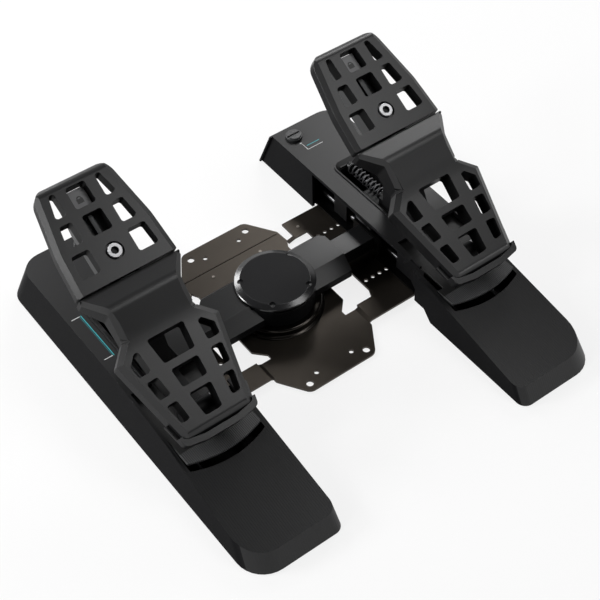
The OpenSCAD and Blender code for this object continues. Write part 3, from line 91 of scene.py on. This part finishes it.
class Finish:
    """A material under construction, with one method that adds any node."""

    def __init__(self, name):
        self.material = bpy.data.materials.new(name)
        self.material.use_nodes = True
        self.tree = self.material.node_tree
        self.tree.nodes.clear()
        self.output = self.tree.nodes.new("ShaderNodeOutputMaterial")
        self.place = self.add("ShaderNodeTexCoord", {}, {}, "Object")
        self.x, self.y, self.z = self.split(self.place)

    def add(self, kind, settings, inputs, result=0):
        """Adds a node: first its settings, then each input's value or link."""
        node = self.tree.nodes.new(kind)
        for key, value in settings.items():
            setattr(node, key, value)
        for key, value in inputs.items():
            entry = node.inputs[key]
            if isinstance(value, Wire):
                self.tree.links.new(value.socket, entry)
            elif entry.type == "RGBA":
                entry.default_value = (*value, 1)
            else:
                entry.default_value = value
        return Wire(self, node.outputs[result])

    def split(self, vector):
        parts = self.add("ShaderNodeSeparateXYZ", {}, {0: vector})
        return [Wire(self, output) for output in parts.socket.node.outputs]

    def noise(self, scale, detail=3.0, rough=0.55):
        """Smooth random value between 0 and 1, features 1/scale metres across."""
        return self.add("ShaderNodeTexNoise", {"noise_dimensions": "3D"},
                        {"Vector": self.place, "Scale": scale, "Detail": detail,
                         "Roughness": rough})

    def grade(self, value, low, high):
        """Value from 0..1 spread over low..high."""
        return self.add("ShaderNodeMapRange", {},
                        {"Value": value, "To Min": low, "To Max": high})

    def tint(self, share, first, second):
        """Mix of two colours by a share from 0 to 1."""
        return self.add("ShaderNodeMix", {"data_type": "RGBA"},
                        {"Factor": share, "A": first, "B": second}, "Result")

    def tilt(self):
        """Upward part of the face's normal: 1 on tops, 0 on walls."""
        return self.split(self.add("ShaderNodeNewGeometry", {}, {}, "Normal"))[2]

    def facing_up(self):
        """1 on faces that look up, 0 on walls, with a soft change between."""
        return self.add("ShaderNodeMapRange", {},
                        {"Value": self.tilt(), "From Min": 0.25, "From Max": 0.70})

    def reach(self, first, second):
        """Distance sqrt(first^2 + second^2) from the zero of two measures."""
        point = self.add("ShaderNodeCombineXYZ", {}, {0: first, 1: second})
        return self.add("ShaderNodeVectorMath", {"operation": "LENGTH"}, {0: point}, "Value")

    def bump(self, height, strength, distance):
        return self.add("ShaderNodeBump", {},
                        {"Height": height, "Strength": strength, "Distance": distance})

    def surface(self, **values):
        """Closes the material with a Principled shader."""
        shader = self.add("ShaderNodeBsdfPrincipled", {},
                          {key.replace("_", " "): value for key, value in values.items()})
        self.tree.links.new(shader.socket, self.output.inputs[0])
        return self.material


def between(value, low, high):
    """1 where the value lies between low and high, else 0."""
    return (value > low) * (value < high)


def ripple(value, turn):
    """Wave between 0 and 1 along the value: sin(turn * value) / 2 + 1/2."""
    return (value * turn).sine() * 0.5 + 0.5


def shaded(colour, share):
    """The colour times a share, for the darker clouds in a finish."""
    return tuple(part * share for part in colour)


def dress(material, *names):
    """Gives CAD nodes their finish."""
    for name in names:
        slots = frame["nodes"][name].data.materials
        slots.clear()
        slots.append(material)


def pair(name):
    return "right_" + name, "left_" + name


body_of = {node: body
           for body, nodes in frame["record"]["behaviour"]["bodies"].items()
           for node in nodes}


def stand_in(name, ending, material):
    """A copy of a CAD node's mesh as a piece of its own, in one material."""
    mesh = frame["nodes"][name].data.copy()
    mesh.name = name + ending
    mesh.materials.clear()
    mesh.materials.append(material)
    piece = bpy.data.objects.new(name + ending, mesh)
    bpy.context.collection.objects.link(piece)
    return piece


WELD_REACH = 2e-6
FLAT_ANGLE = math.radians(0.6)
SHARP_ANGLE = math.radians(28.0)


def eased(name, width, material, segments=3):
    """A welded copy of a CAD node whose sharp edges are rounded over the width.
    It stands for the node and rides on the same body."""
    piece = stand_in(name, "_eased", material)
    work = bmesh.new()
    work.from_mesh(piece.data)
    bmesh.ops.remove_doubles(work, verts=work.verts, dist=WELD_REACH)
    bmesh.ops.dissolve_limit(work, angle_limit=FLAT_ANGLE, verts=work.verts, edges=work.edges)
    work.to_mesh(piece.data)
    work.free()
    piece.data.shade_smooth()
    ease = piece.modifiers.new("edges", "BEVEL")
    ease.width = width
    ease.segments = segments
    ease.limit_method = "ANGLE"
    ease.angle_limit = SHARP_ANGLE
    ease.miter_outer = "MITER_ARC"
    level = piece.modifiers.new("flats", "WEIGHTED_NORMAL")
    level.mode = "FACE_AREA"
    level.weight = 90
    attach(piece, body_of[name])
    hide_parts(name)


def sheet_coat(name, colour):
    """Powder coat over steel: cloudy tone, fine orange-peel and faint rolling lines."""
    f = Finish(name)
    cloud = f.noise(22, 4)
    peel = f.noise(1500, 2)
    stretched = f.add("ShaderNodeMapping", {}, {"Vector": f.place, "Scale": (40, 1800, 40)})
    rolled = f.add("ShaderNodeTexNoise", {}, {"Vector": stretched, "Scale": 1.0, "Detail": 2.0})
    return f.surface(
        Base_Color=f.tint(cloud, shaded(colour, 0.72), colour), Metallic=0.9,
        Roughness=f.grade(cloud * 0.6 + rolled * 0.4, 0.30, 0.46),
        Normal=f.bump(peel * 0.7 + rolled * 0.3, strength=0.18, distance=0.0002))


bronze_coat = sheet_coat("bronze_grey_coat", (0.056, 0.048, 0.040))
eased("base_plate", 0.0005, bronze_coat, segments=2)


# Rivets and pedestal drum: the rivets clinch the wings' stiffeners, and the
# drum is spun from the same sheet, a little more polished on its wall.

def spun_metal(name, colour, rough):
    """Turned metal: fine rings round the Z axis and a cloudy polish."""
    f = Finish(name)
    cloud = f.noise(30, 3)
    return f.surface(
        Base_Color=f.tint(cloud, shaded(colour, 0.8), colour), Metallic=0.95,
        Roughness=f.grade(cloud, rough - 0.05, rough + 0.08),
        Normal=f.bump(ripple(f.z, 9000), strength=0.08, distance=0.0001))


rivet_metal = spun_metal("rivet_metal", (0.22, 0.20, 0.18), rough=0.36)
drum_bronze = spun_metal("drum_bronze", (0.030, 0.027, 0.024), rough=0.16)
dress(rivet_metal, "plate_rivets")
eased("hub_pedestal", 0.0006, drum_bronze, segments=2)


# Gear train in the hub: brass idlers between the two steel shafts turn one
# pedal's push into the other's return, and a board reads their angle.

def machined(name, colour, rough, metallic=1.0, lines=5200.0):
    """Cut metal: fine tool lines across X with a slight unevenness; lines is their
    wave number, in radians per metre."""
    f = Finish(name)
    cloud = f.noise(60, 3)
    return f.surface(
        Base_Color=f.tint(cloud, shaded(colour, 0.85), colour), Metallic=metallic,
        Roughness=f.grade(cloud, rough - 0.06, rough + 0.08),
        Normal=f.bump(ripple(f.x, lines) * 0.6 + cloud * 0.4, strength=0.12, distance=0.0001))


gear_brass = machined("gear_brass", (0.72, 0.53, 0.24), rough=0.3)
dark_steel = machined("dark_steel", (0.10, 0.10, 0.105), rough=0.38)
rack_black = machined("rack_black", (0.020, 0.020, 0.021), rough=0.5, metallic=0.4)
cast_zinc = machined("cast_zinc", (0.42, 0.43, 0.45), rough=0.45)
dress(gear_brass, "idler_gear_upper", "idler_gear_lower")
dress(dark_steel, *pair("drive_shaft"), *pair("pinion"))
dress(rack_black, *pair("rack"))
dress(cast_zinc, "gear_frame")


def circuit_board():
    """Green solder mask with paler tracks every 1.3 mm."""
    f = Finish("circuit_board")
    track = ((f.y * 4800).sine() > 0.55) * 0.6
    grain = f.noise(2500, 2)
    return f.surface(
        Base_Color=f.tint(track, (0.012, 0.11, 0.045), (0.03, 0.19, 0.08)),
        Roughness=f.grade(grain, 0.28, 0.42),
        Normal=f.bump(track, strength=0.3, distance=0.0001))


dress(circuit_board(), "sensor_board")
dress(machined("plated_shell", (0.62, 0.63, 0.64), rough=0.28), "usb_socket")


# Hub housing with its two arms and the arm sleeves that slide in them: moulded
# in black ABS with a fine spark-eroded grain.

def moulded(name, colour, rough=0.5, grain=1900.0, depth=0.00012,
            extra=None, gloss=0.3, top_coat=0.0, edge_coat=0.0):
    """Moulded plastic: eroded grain, faint flow clouds and shinier patches of wear.
    extra(f) may return a height from 0 to 1 that is pressed in under the grain.
    gloss is the strength of the mirror part, 0.5 on bare polished plastic.
    top_coat is the weight of the polish that use leaves on faces that look up, and
    edge_coat is added to it on slanting faces and rounded edges."""
    f = Finish(name)
    cloud = f.noise(14, 4)
    pits = f.noise(grain, 3, 0.65)
    height = pits
    if extra is not None:
        height = pits * 0.35 + extra(f) * 0.65
        depth = depth * 1.6
    slanting = between(f.tilt(), 0.30, 0.74)
    return f.surface(
        Base_Color=f.tint(cloud, shaded(colour, 0.82), colour),
        Roughness=f.grade(cloud * 0.5 + pits * 0.5, rough - 0.07, rough + 0.07),
        Specular_IOR_Level=gloss, Normal=f.bump(height, strength=0.5, distance=depth),
        Coat_Weight=f.facing_up() * top_coat + slanting * edge_coat, Coat_Roughness=rough)


hub_black = moulded("hub_black", (0.007, 0.007, 0.0075), rough=0.28, gloss=0.02, top_coat=0.6)
eased("hub_housing", 0.0009, hub_black)
for name in pair("arm_sleeve"):
    eased(name, 0.0007, hub_black)


# Hub cap: a turned lid with a bevelled rim and four screw notches; its face is
# satin and its bevel is left glossier by the cutting tool.

CAP_FACE_RADIUS = 0.0335


def cap_finish():
    """Satin face, glossy outside the face's radius, with fine turning rings."""
    f = Finish("cap_satin")
    reach = f.reach(f.x, f.y)
    rim = reach > CAP_FACE_RADIUS
    cloud = f.noise(25, 4)
    return f.surface(
        Base_Color=f.tint(cloud, (0.009, 0.009, 0.0095), (0.012, 0.012, 0.013)),
        Roughness=f.grade(rim * 0.7 + cloud * 0.3, 0.44, 0.20), Specular_IOR_Level=0.06,
        Coat_Weight=rim * 0.9, Coat_Roughness=0.2,
        Normal=f.bump(ripple(reach, 7000) * 0.3 + f.noise(2200, 2) * 0.7,
                      strength=0.3, distance=0.0001))


dress(cap_finish(), "hub_cap")


# Side covers: long shells of black ABS. The heel slopes are grooved along the
# pedal's travel, and thin teal and white travel marks are printed on the tops.

GROOVE_PITCH = 0.0022
GROOVE_REAR_Y = -0.098
PRINT_LOW_Z = 0.0475
TEAL = (0.03, 0.32, 0.36)
WHITE_INK = (0.55, 0.56, 0.56)
# Each bar's inner and outer edge in |x|, then its front and rear edge in y
PRINTED_BARS = {
    "travel line": (0.1756, 0.1764, 0.0040, 0.0630),
    "travel hairline": (0.1772, 0.1776, 0.0040, 0.0630),
    "travel rear end": (0.1772, 0.1860, 0.0622, 0.0630),
    "travel front end": (0.1772, 0.1860, 0.0042, 0.0050),
    "knob line": (0.1300, 0.1457, 0.1209, 0.1217),
    "knob bracket side": (0.1273, 0.1279, 0.1160, 0.1262),
    "knob bracket front": (0.1279, 0.1463, 0.1157, 0.1163),
}
KNOB_DOT_X, KNOB_DOT_Y, KNOB_DOT_RADIUS = 0.1271, 0.1279, 0.0010


def cover_print(f):
    """Shares of teal and of white ink on the tops; the knob's marks are on the
    right cover only."""
    across = abs(f.x)
    bars = {label: between(across, inner, outer) * between(f.y, front, rear)
            for label, (inner, outer, front, rear) in PRINTED_BARS.items()}
    dot = f.reach(across - KNOB_DOT_X, f.y - KNOB_DOT_Y) < KNOB_DOT_RADIUS
    right = f.x > 0
    teal = bars["travel line"] + bars["travel hairline"] * 0.5 + bars["knob line"] * right * 0.9
    knob_white = bars["knob bracket side"] + bars["knob bracket front"] + dot
    white = bars["travel rear end"] + bars["travel front end"] + knob_white * right
    return teal, white


def cover_finish():
    """Grained black shell with grooves on the heel slope and printed lines. The
    grooves are a sine across X, on faces that look up in front of GROOVE_REAR_Y."""
    f = Finish("cover_black")
    cloud = f.noise(11, 4)
    pits = f.noise(1900, 3, 0.65)
    facing = f.facing_up()
    slanting = between(f.tilt(), 0.35, 0.93)
    top = facing > 0.5
    slope = top * (f.y < GROOVE_REAR_Y)
    groove = ripple(f.x, 2 * math.pi / GROOVE_PITCH)
    printable = top * (f.z > PRINT_LOW_Z)
    teal, white = cover_print(f)
    black = f.tint(cloud, (0.0075, 0.0075, 0.008), (0.0105, 0.0105, 0.011))
    inked = f.tint(white * printable, f.tint(teal * printable, black, TEAL), WHITE_INK)
    return f.surface(
        Base_Color=inked,
        Roughness=f.grade(cloud * 0.5 + pits * 0.5, 0.36, 0.50), Specular_IOR_Level=0.005,
        Coat_Weight=facing * 0.45 + slanting * 0.5, Coat_Roughness=0.38,
        Normal=f.bump(pits * 0.15 + groove * slope * 0.85, strength=0.8, distance=0.0006))


cover_black = cover_finish()
for name in pair("side_cover"):
    eased(name, 0.0012, cover_black)
tray_black = moulded("tray_black", (0.012, 0.012, 0.012), rough=0.6)
foot_rubber = moulded("foot_rubber", (0.02, 0.02, 0.02), rough=0.75, grain=900.0, depth=0.0002)
dress(tray_black, *pair("bottom_tray"))
dress(foot_rubber, *pair("rubber_feet"))


# Inner frames: steel pressings in dark paint that hold the guide rods and the
# pinion's bearings; blackened rods, and bushes of sintered bronze on them.

chassis_paint = sheet_coat("chassis_paint", (0.007, 0.007, 0.0075))
black_rod = machined("black_rod", (0.060, 0.060, 0.062), rough=0.30, lines=9000.0)
sintered_bronze = machined("sintered_bronze", (0.16, 0.11, 0.06), rough=0.5)
dress(chassis_paint, *pair("chassis"))
dress(black_rod, *pair("guide_rods"), *pair("tilt_axle"))
dress(sintered_bronze, *pair("guide_bushes"))


# Carriages and posts: glass-filled nylon, duller and a shade darker than the
# covers, with the black plate that closes the opening round each post.

slider_nylon = moulded("slider_nylon", (0.006, 0.006, 0.0065), grain=1200.0, gloss=0.12)
dress(slider_nylon, *pair("carriage"))
for name in pair("pedal_post"):
    eased(name, 0.0010, slider_nylon)

RIB_PITCH = 0.0017
STRIP_REAR_Y = -0.1180


def plate_finish():
    """Black plate whose front strip is ribbed across, 1.7 mm apart, with painted light:
    grey on the strip and paler on the rib crests. The strip lies more than 118 mm in front of
    the hub."""
    f = Finish("plate_black")
    cloud = f.noise(18, 4)
    pits = f.noise(1900, 3, 0.65)
    strip = f.y < STRIP_REAR_Y
    rib = ripple(f.x, 2 * math.pi / RIB_PITCH)
    # Painted light: grey over the ribbed front strip, paler on the rib crests.
    painted_lit_ribs = f.tint(rib * 0.7 + cloud * 0.3, (0.012, 0.012, 0.012), (0.060, 0.061, 0.063))
    return f.surface(
        Base_Color=f.tint(strip, (0.006, 0.006, 0.006), painted_lit_ribs), Specular_IOR_Level=0.25,
        Roughness=f.grade(cloud * 0.5 + pits * 0.5, 0.42, 0.56),
        Normal=f.bump(pits * 0.3 + rib * strip * 0.7, strength=0.6, distance=0.00035))


plate_black = plate_finish()
for name in pair("slide_cover"):
    eased(name, 0.0005, plate_black, segments=2)


# Springs: hard-drawn wire. The centring springs show through the slot behind
# each post; the brake springs sit round the tilt axle between post and lugs.

drawn_wire = machined("drawn_wire", (0.30, 0.30, 0.31), rough=0.30, lines=3000.0)
dress(drawn_wire, *pair("brake_spring"))


def sprung(name):
    """A fixed copy of a centring spring, its place baked into the mesh; it stands for the
    spring. Its rear end sits at the cover's rear wall."""
    piece = stand_in(name, "_sprung", drawn_wire)
    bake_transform(piece)
    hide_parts(name)


for side in ("right", "left"):
    sprung(side + "_return_spring")


# Pedals: body with heel plate and waist, and the toe plate bolted above it,
# both of charcoal nylon with a fine cross-hatched grip texture.

SLOPE = math.radians(28.6)
HATCH_PITCH = 0.0012
DIAGONAL = 0.7


def hatch(f):
    """Fine grip texture: two families of lines that cross at right angles on the
    pedal's plane: sin(turn (x + s)) * sin(turn (x - s)) / 2 + 1/2, with s measured
    up the slope. DIAGONAL, near 1/sqrt(2), sets the lines a pitch apart."""
    along = f.y * math.cos(SLOPE) + f.z * math.sin(SLOPE)
    turn = 2 * math.pi / HATCH_PITCH * DIAGONAL
    return ((f.x + along) * turn).sine() * ((f.x - along) * turn).sine() * 0.5 + 0.5


pedal_charcoal = moulded("pedal_charcoal", (0.010, 0.010, 0.0105), rough=0.36, depth=0.0001,
                         extra=hatch, gloss=0.02, top_coat=0.66, edge_coat=0.5)
for name in pair("pedal_body") + pair("toe_plate"):
    eased(name, 0.0021, pedal_charcoal)
for name in pair("heel_lip"):
    eased(name, 0.0018, pedal_charcoal)


# Toe arms, lock pads and screws: die-cast arms in dark paint, a grey sliding
# lock pad in the uppermost hole, and plated M8 socket screws.

cast_arm = machined("cast_arm", (0.030, 0.031, 0.032), rough=0.42, metallic=0.5)
for name in pair("toe_arm"):
    eased(name, 0.0008, cast_arm)

PEDAL_X = 0.150
HEEL_Y, HEEL_Z = -0.1077, 0.0835


def on_pedal(f, up):
    """Place on a pedal's plane: across is |x| - PEDAL_X, and along is measured up
    the slope from the point that lies the distance up from the heel."""
    along = (f.y - HEEL_Y) * math.cos(SLOPE) + (f.z - HEEL_Z) * math.sin(SLOPE) - up
    across = abs(f.x) - PEDAL_X
    return across, along


LOCK_UP = 0.2048
PADLOCK_HALF_WIDTH, PADLOCK_LOW, PADLOCK_TOP = 0.0031, -0.0036, 0.0008
SHACKLE_INNER, SHACKLE_OUTER, SHACKLE_LOW = 0.0014, 0.0025, 0.0007


def lock_finish():
    """Grey pad with a dark padlock: a body, and a half ring over it. Both are
    measured across the pad and up the pedal's slope from the pad's middle."""
    f = Finish("lock_grey")
    cloud = f.noise(60, 3)
    across, along = on_pedal(f, LOCK_UP)
    body = (abs(across) < PADLOCK_HALF_WIDTH) * between(along, PADLOCK_LOW, PADLOCK_TOP)
    ring = between(f.reach(across, along - PADLOCK_TOP), SHACKLE_INNER, SHACKLE_OUTER)
    shackle = ring * (along > SHACKLE_LOW)
    mark = body.maths("MAXIMUM", shackle)
    grey = f.tint(cloud, (0.17, 0.17, 0.175), (0.22, 0.22, 0.225))
    return f.surface(
        Base_Color=f.tint(mark, grey, (0.008, 0.008, 0.008)),
        Roughness=f.grade(cloud, 0.40, 0.52),
        Normal=f.bump(f.noise(1900, 3) * 0.4 - mark * 0.6, strength=0.4, distance=0.0002))


lock_grey = lock_finish()
for name in pair("toe_lock"):
    eased(name, 0.0006, lock_grey, segments=2)

SCREW_UP = 0.1482
SOCKET_RADIUS = 0.0036


def screw_finish():
    """Plated steel with turned rings, and painted shade inside its socket."""
    f = Finish("screw_plated")
    reach = f.reach(*on_pedal(f, SCREW_UP))
    cloud = f.noise(80, 3)
    plated = f.tint(cloud, (0.40, 0.40, 0.41), (0.50, 0.50, 0.51))
    # Painted shade: the disc inside SOCKET_RADIUS is near-black, standing in for the socket's
    # shade.
    return f.surface(
        Base_Color=f.tint(reach < SOCKET_RADIUS, plated, (0.02, 0.02, 0.02)),
        Metallic=1.0, Roughness=f.grade(cloud, 0.42, 0.54),
        Normal=f.bump(ripple(reach, 9000), strength=0.15, distance=0.0001))


screw_plated = screw_finish()
for name in pair("toe_screw"):
    eased(name, 0.0004, screw_plated, segments=2)


# Tension knobs: satin plastic discs with a screwdriver slot, at the rear of
# each cover.

knob_grey = moulded("knob_grey", (0.030, 0.031, 0.032), rough=0.36)
for name in pair("tension_knob"):
    eased(name, 0.0004, knob_grey, segments=2)


# Floor, lamps and camera: a plain white floor that turns up into a backdrop far
# out, soft lamps that stand mostly behind and above, and the photograph's camera.

def floor_sheet(half, flat, lift, steps):
    """Square sheet over -half..half that is level round the object and turns up
    into a backdrop: z = lift * max(r - flat, 0)^2, with r = sqrt(x^2 + y^2)."""
    s = np.linspace(-half, half, steps)
    gx, gy = np.meshgrid(s, s)
    gz = lift * np.maximum(np.hypot(gx, gy) - flat, 0) ** 2
    points = np.stack([gx.ravel(), gy.ravel(), gz.ravel()], 1)
    cells = np.arange(steps - 1)
    start = (cells[:, None] * steps + cells[None, :]).ravel()
    faces = np.stack([start, start + 1, start + steps + 1, start + steps], 1)
    mesh = bpy.data.meshes.new("floor")
    mesh.from_pydata(points.tolist(), [], faces.tolist())
    mesh.shade_smooth()
    piece = bpy.data.objects.new("floor", mesh)
    bpy.context.collection.objects.link(piece)
    return piece


def floor_finish():
    """White to camera, gloss and glass rays, with part of the object's shadow kept."""
    f = Finish("floor_white")
    card = f.add("ShaderNodeBsdfDiffuse", {}, {"Color": (0.8, 0.8, 0.8), "Roughness": 0.4})
    glow = f.add("ShaderNodeEmission", {}, {"Color": (1.0, 1.0, 1.0), "Strength": 1.0})
    rays = f.add("ShaderNodeLightPath", {}, {}).socket.node.outputs
    camera_ray, glossy_ray, transmission_ray = (
        Wire(f, rays[f"Is {kind} Ray"]) for kind in ("Camera", "Glossy", "Transmission"))
    seen = (camera_ray + glossy_ray + transmission_ray).maths("MINIMUM", 1.0)
    mixed = f.add("ShaderNodeMixShader", {}, {0: seen * 0.8, 1: card, 2: glow})
    f.tree.links.new(mixed.socket, f.output.inputs[0])
    return f.material


floor = floor_sheet(half=7.0, flat=4.5, lift=0.45, steps=57)
floor.data.materials.append(floor_finish())


def lamp(name, place, aim, size, power):
    """Rectangular soft lamp at a place, looking at aim."""
    data = bpy.data.lights.new(name, "AREA")
    data.shape = "RECTANGLE"
    data.size, data.size_y = size
    data.energy = power
    piece = bpy.data.objects.new(name, data)
    bpy.context.collection.objects.link(piece)
    piece.location = place
    piece.rotation_euler = (Vector(aim) - Vector(place)).to_track_quat("-Z", "Y").to_euler()


HUB = (0, 0, 0.05)
HEELS = (0, -0.05, 0.1)
lamp("left_rear_key", (-1.50, 1.10, 0.90), HUB, size=(0.6, 0.6), power=40)
lamp("left_strip", (-1.55, 0.15, 1.15), HUB, size=(0.25, 0.6), power=10)
lamp("rear_right_softbox", (1.10, 1.00, 1.15), HUB, size=(0.6, 0.5), power=10)
lamp("rear_softbox", (-0.10, 1.60, 1.00), HUB, size=(0.6, 0.5), power=16)
lamp("front_strip", (0.85, -1.35, 0.90), HUB, size=(0.5, 0.2), power=2)
lamp("overhead_softbox", (0.62, -0.45, 1.55), HEELS, size=(0.8, 0.5), power=8)

world = bpy.data.worlds.new("soft_room")
bpy.context.scene.world = world
world.use_nodes = True
room_light = world.node_tree.nodes["Background"].inputs
room_light["Color"].default_value = (1, 1, 1, 1)
room_light["Strength"].default_value = 0.07

EYE = (-0.50801009, -0.74028645, 1.01490492)
TURN = (2.30614257, -0.775957908, 0.276310678)
FOCAL_PIXELS = 1389.0278
PHOTO_PIXELS = 600
SENSOR_WIDTH = 36


def camera_turn():
    """Camera axes from the solved rotation vector: right, up and back."""
    turn = Vector(TURN)
    solved = Matrix.Rotation(turn.length, 3, turn.normalized())
    return Matrix((solved[0], -solved[1], -solved[2])).transposed()


camera_data = bpy.data.cameras.new("camera")
camera_data.lens = FOCAL_PIXELS / PHOTO_PIXELS * SENSOR_WIDTH
camera_data.sensor_width = SENSOR_WIDTH
camera_data.clip_start = 0.01
camera = bpy.data.objects.new("camera", camera_data)
bpy.context.collection.objects.link(camera)
camera.matrix_world = Matrix.Translation(EYE) @ camera_turn().to_4x4()
bpy.context.scene.camera = camera
bpy.context.scene.view_settings.view_transform = "Standard"
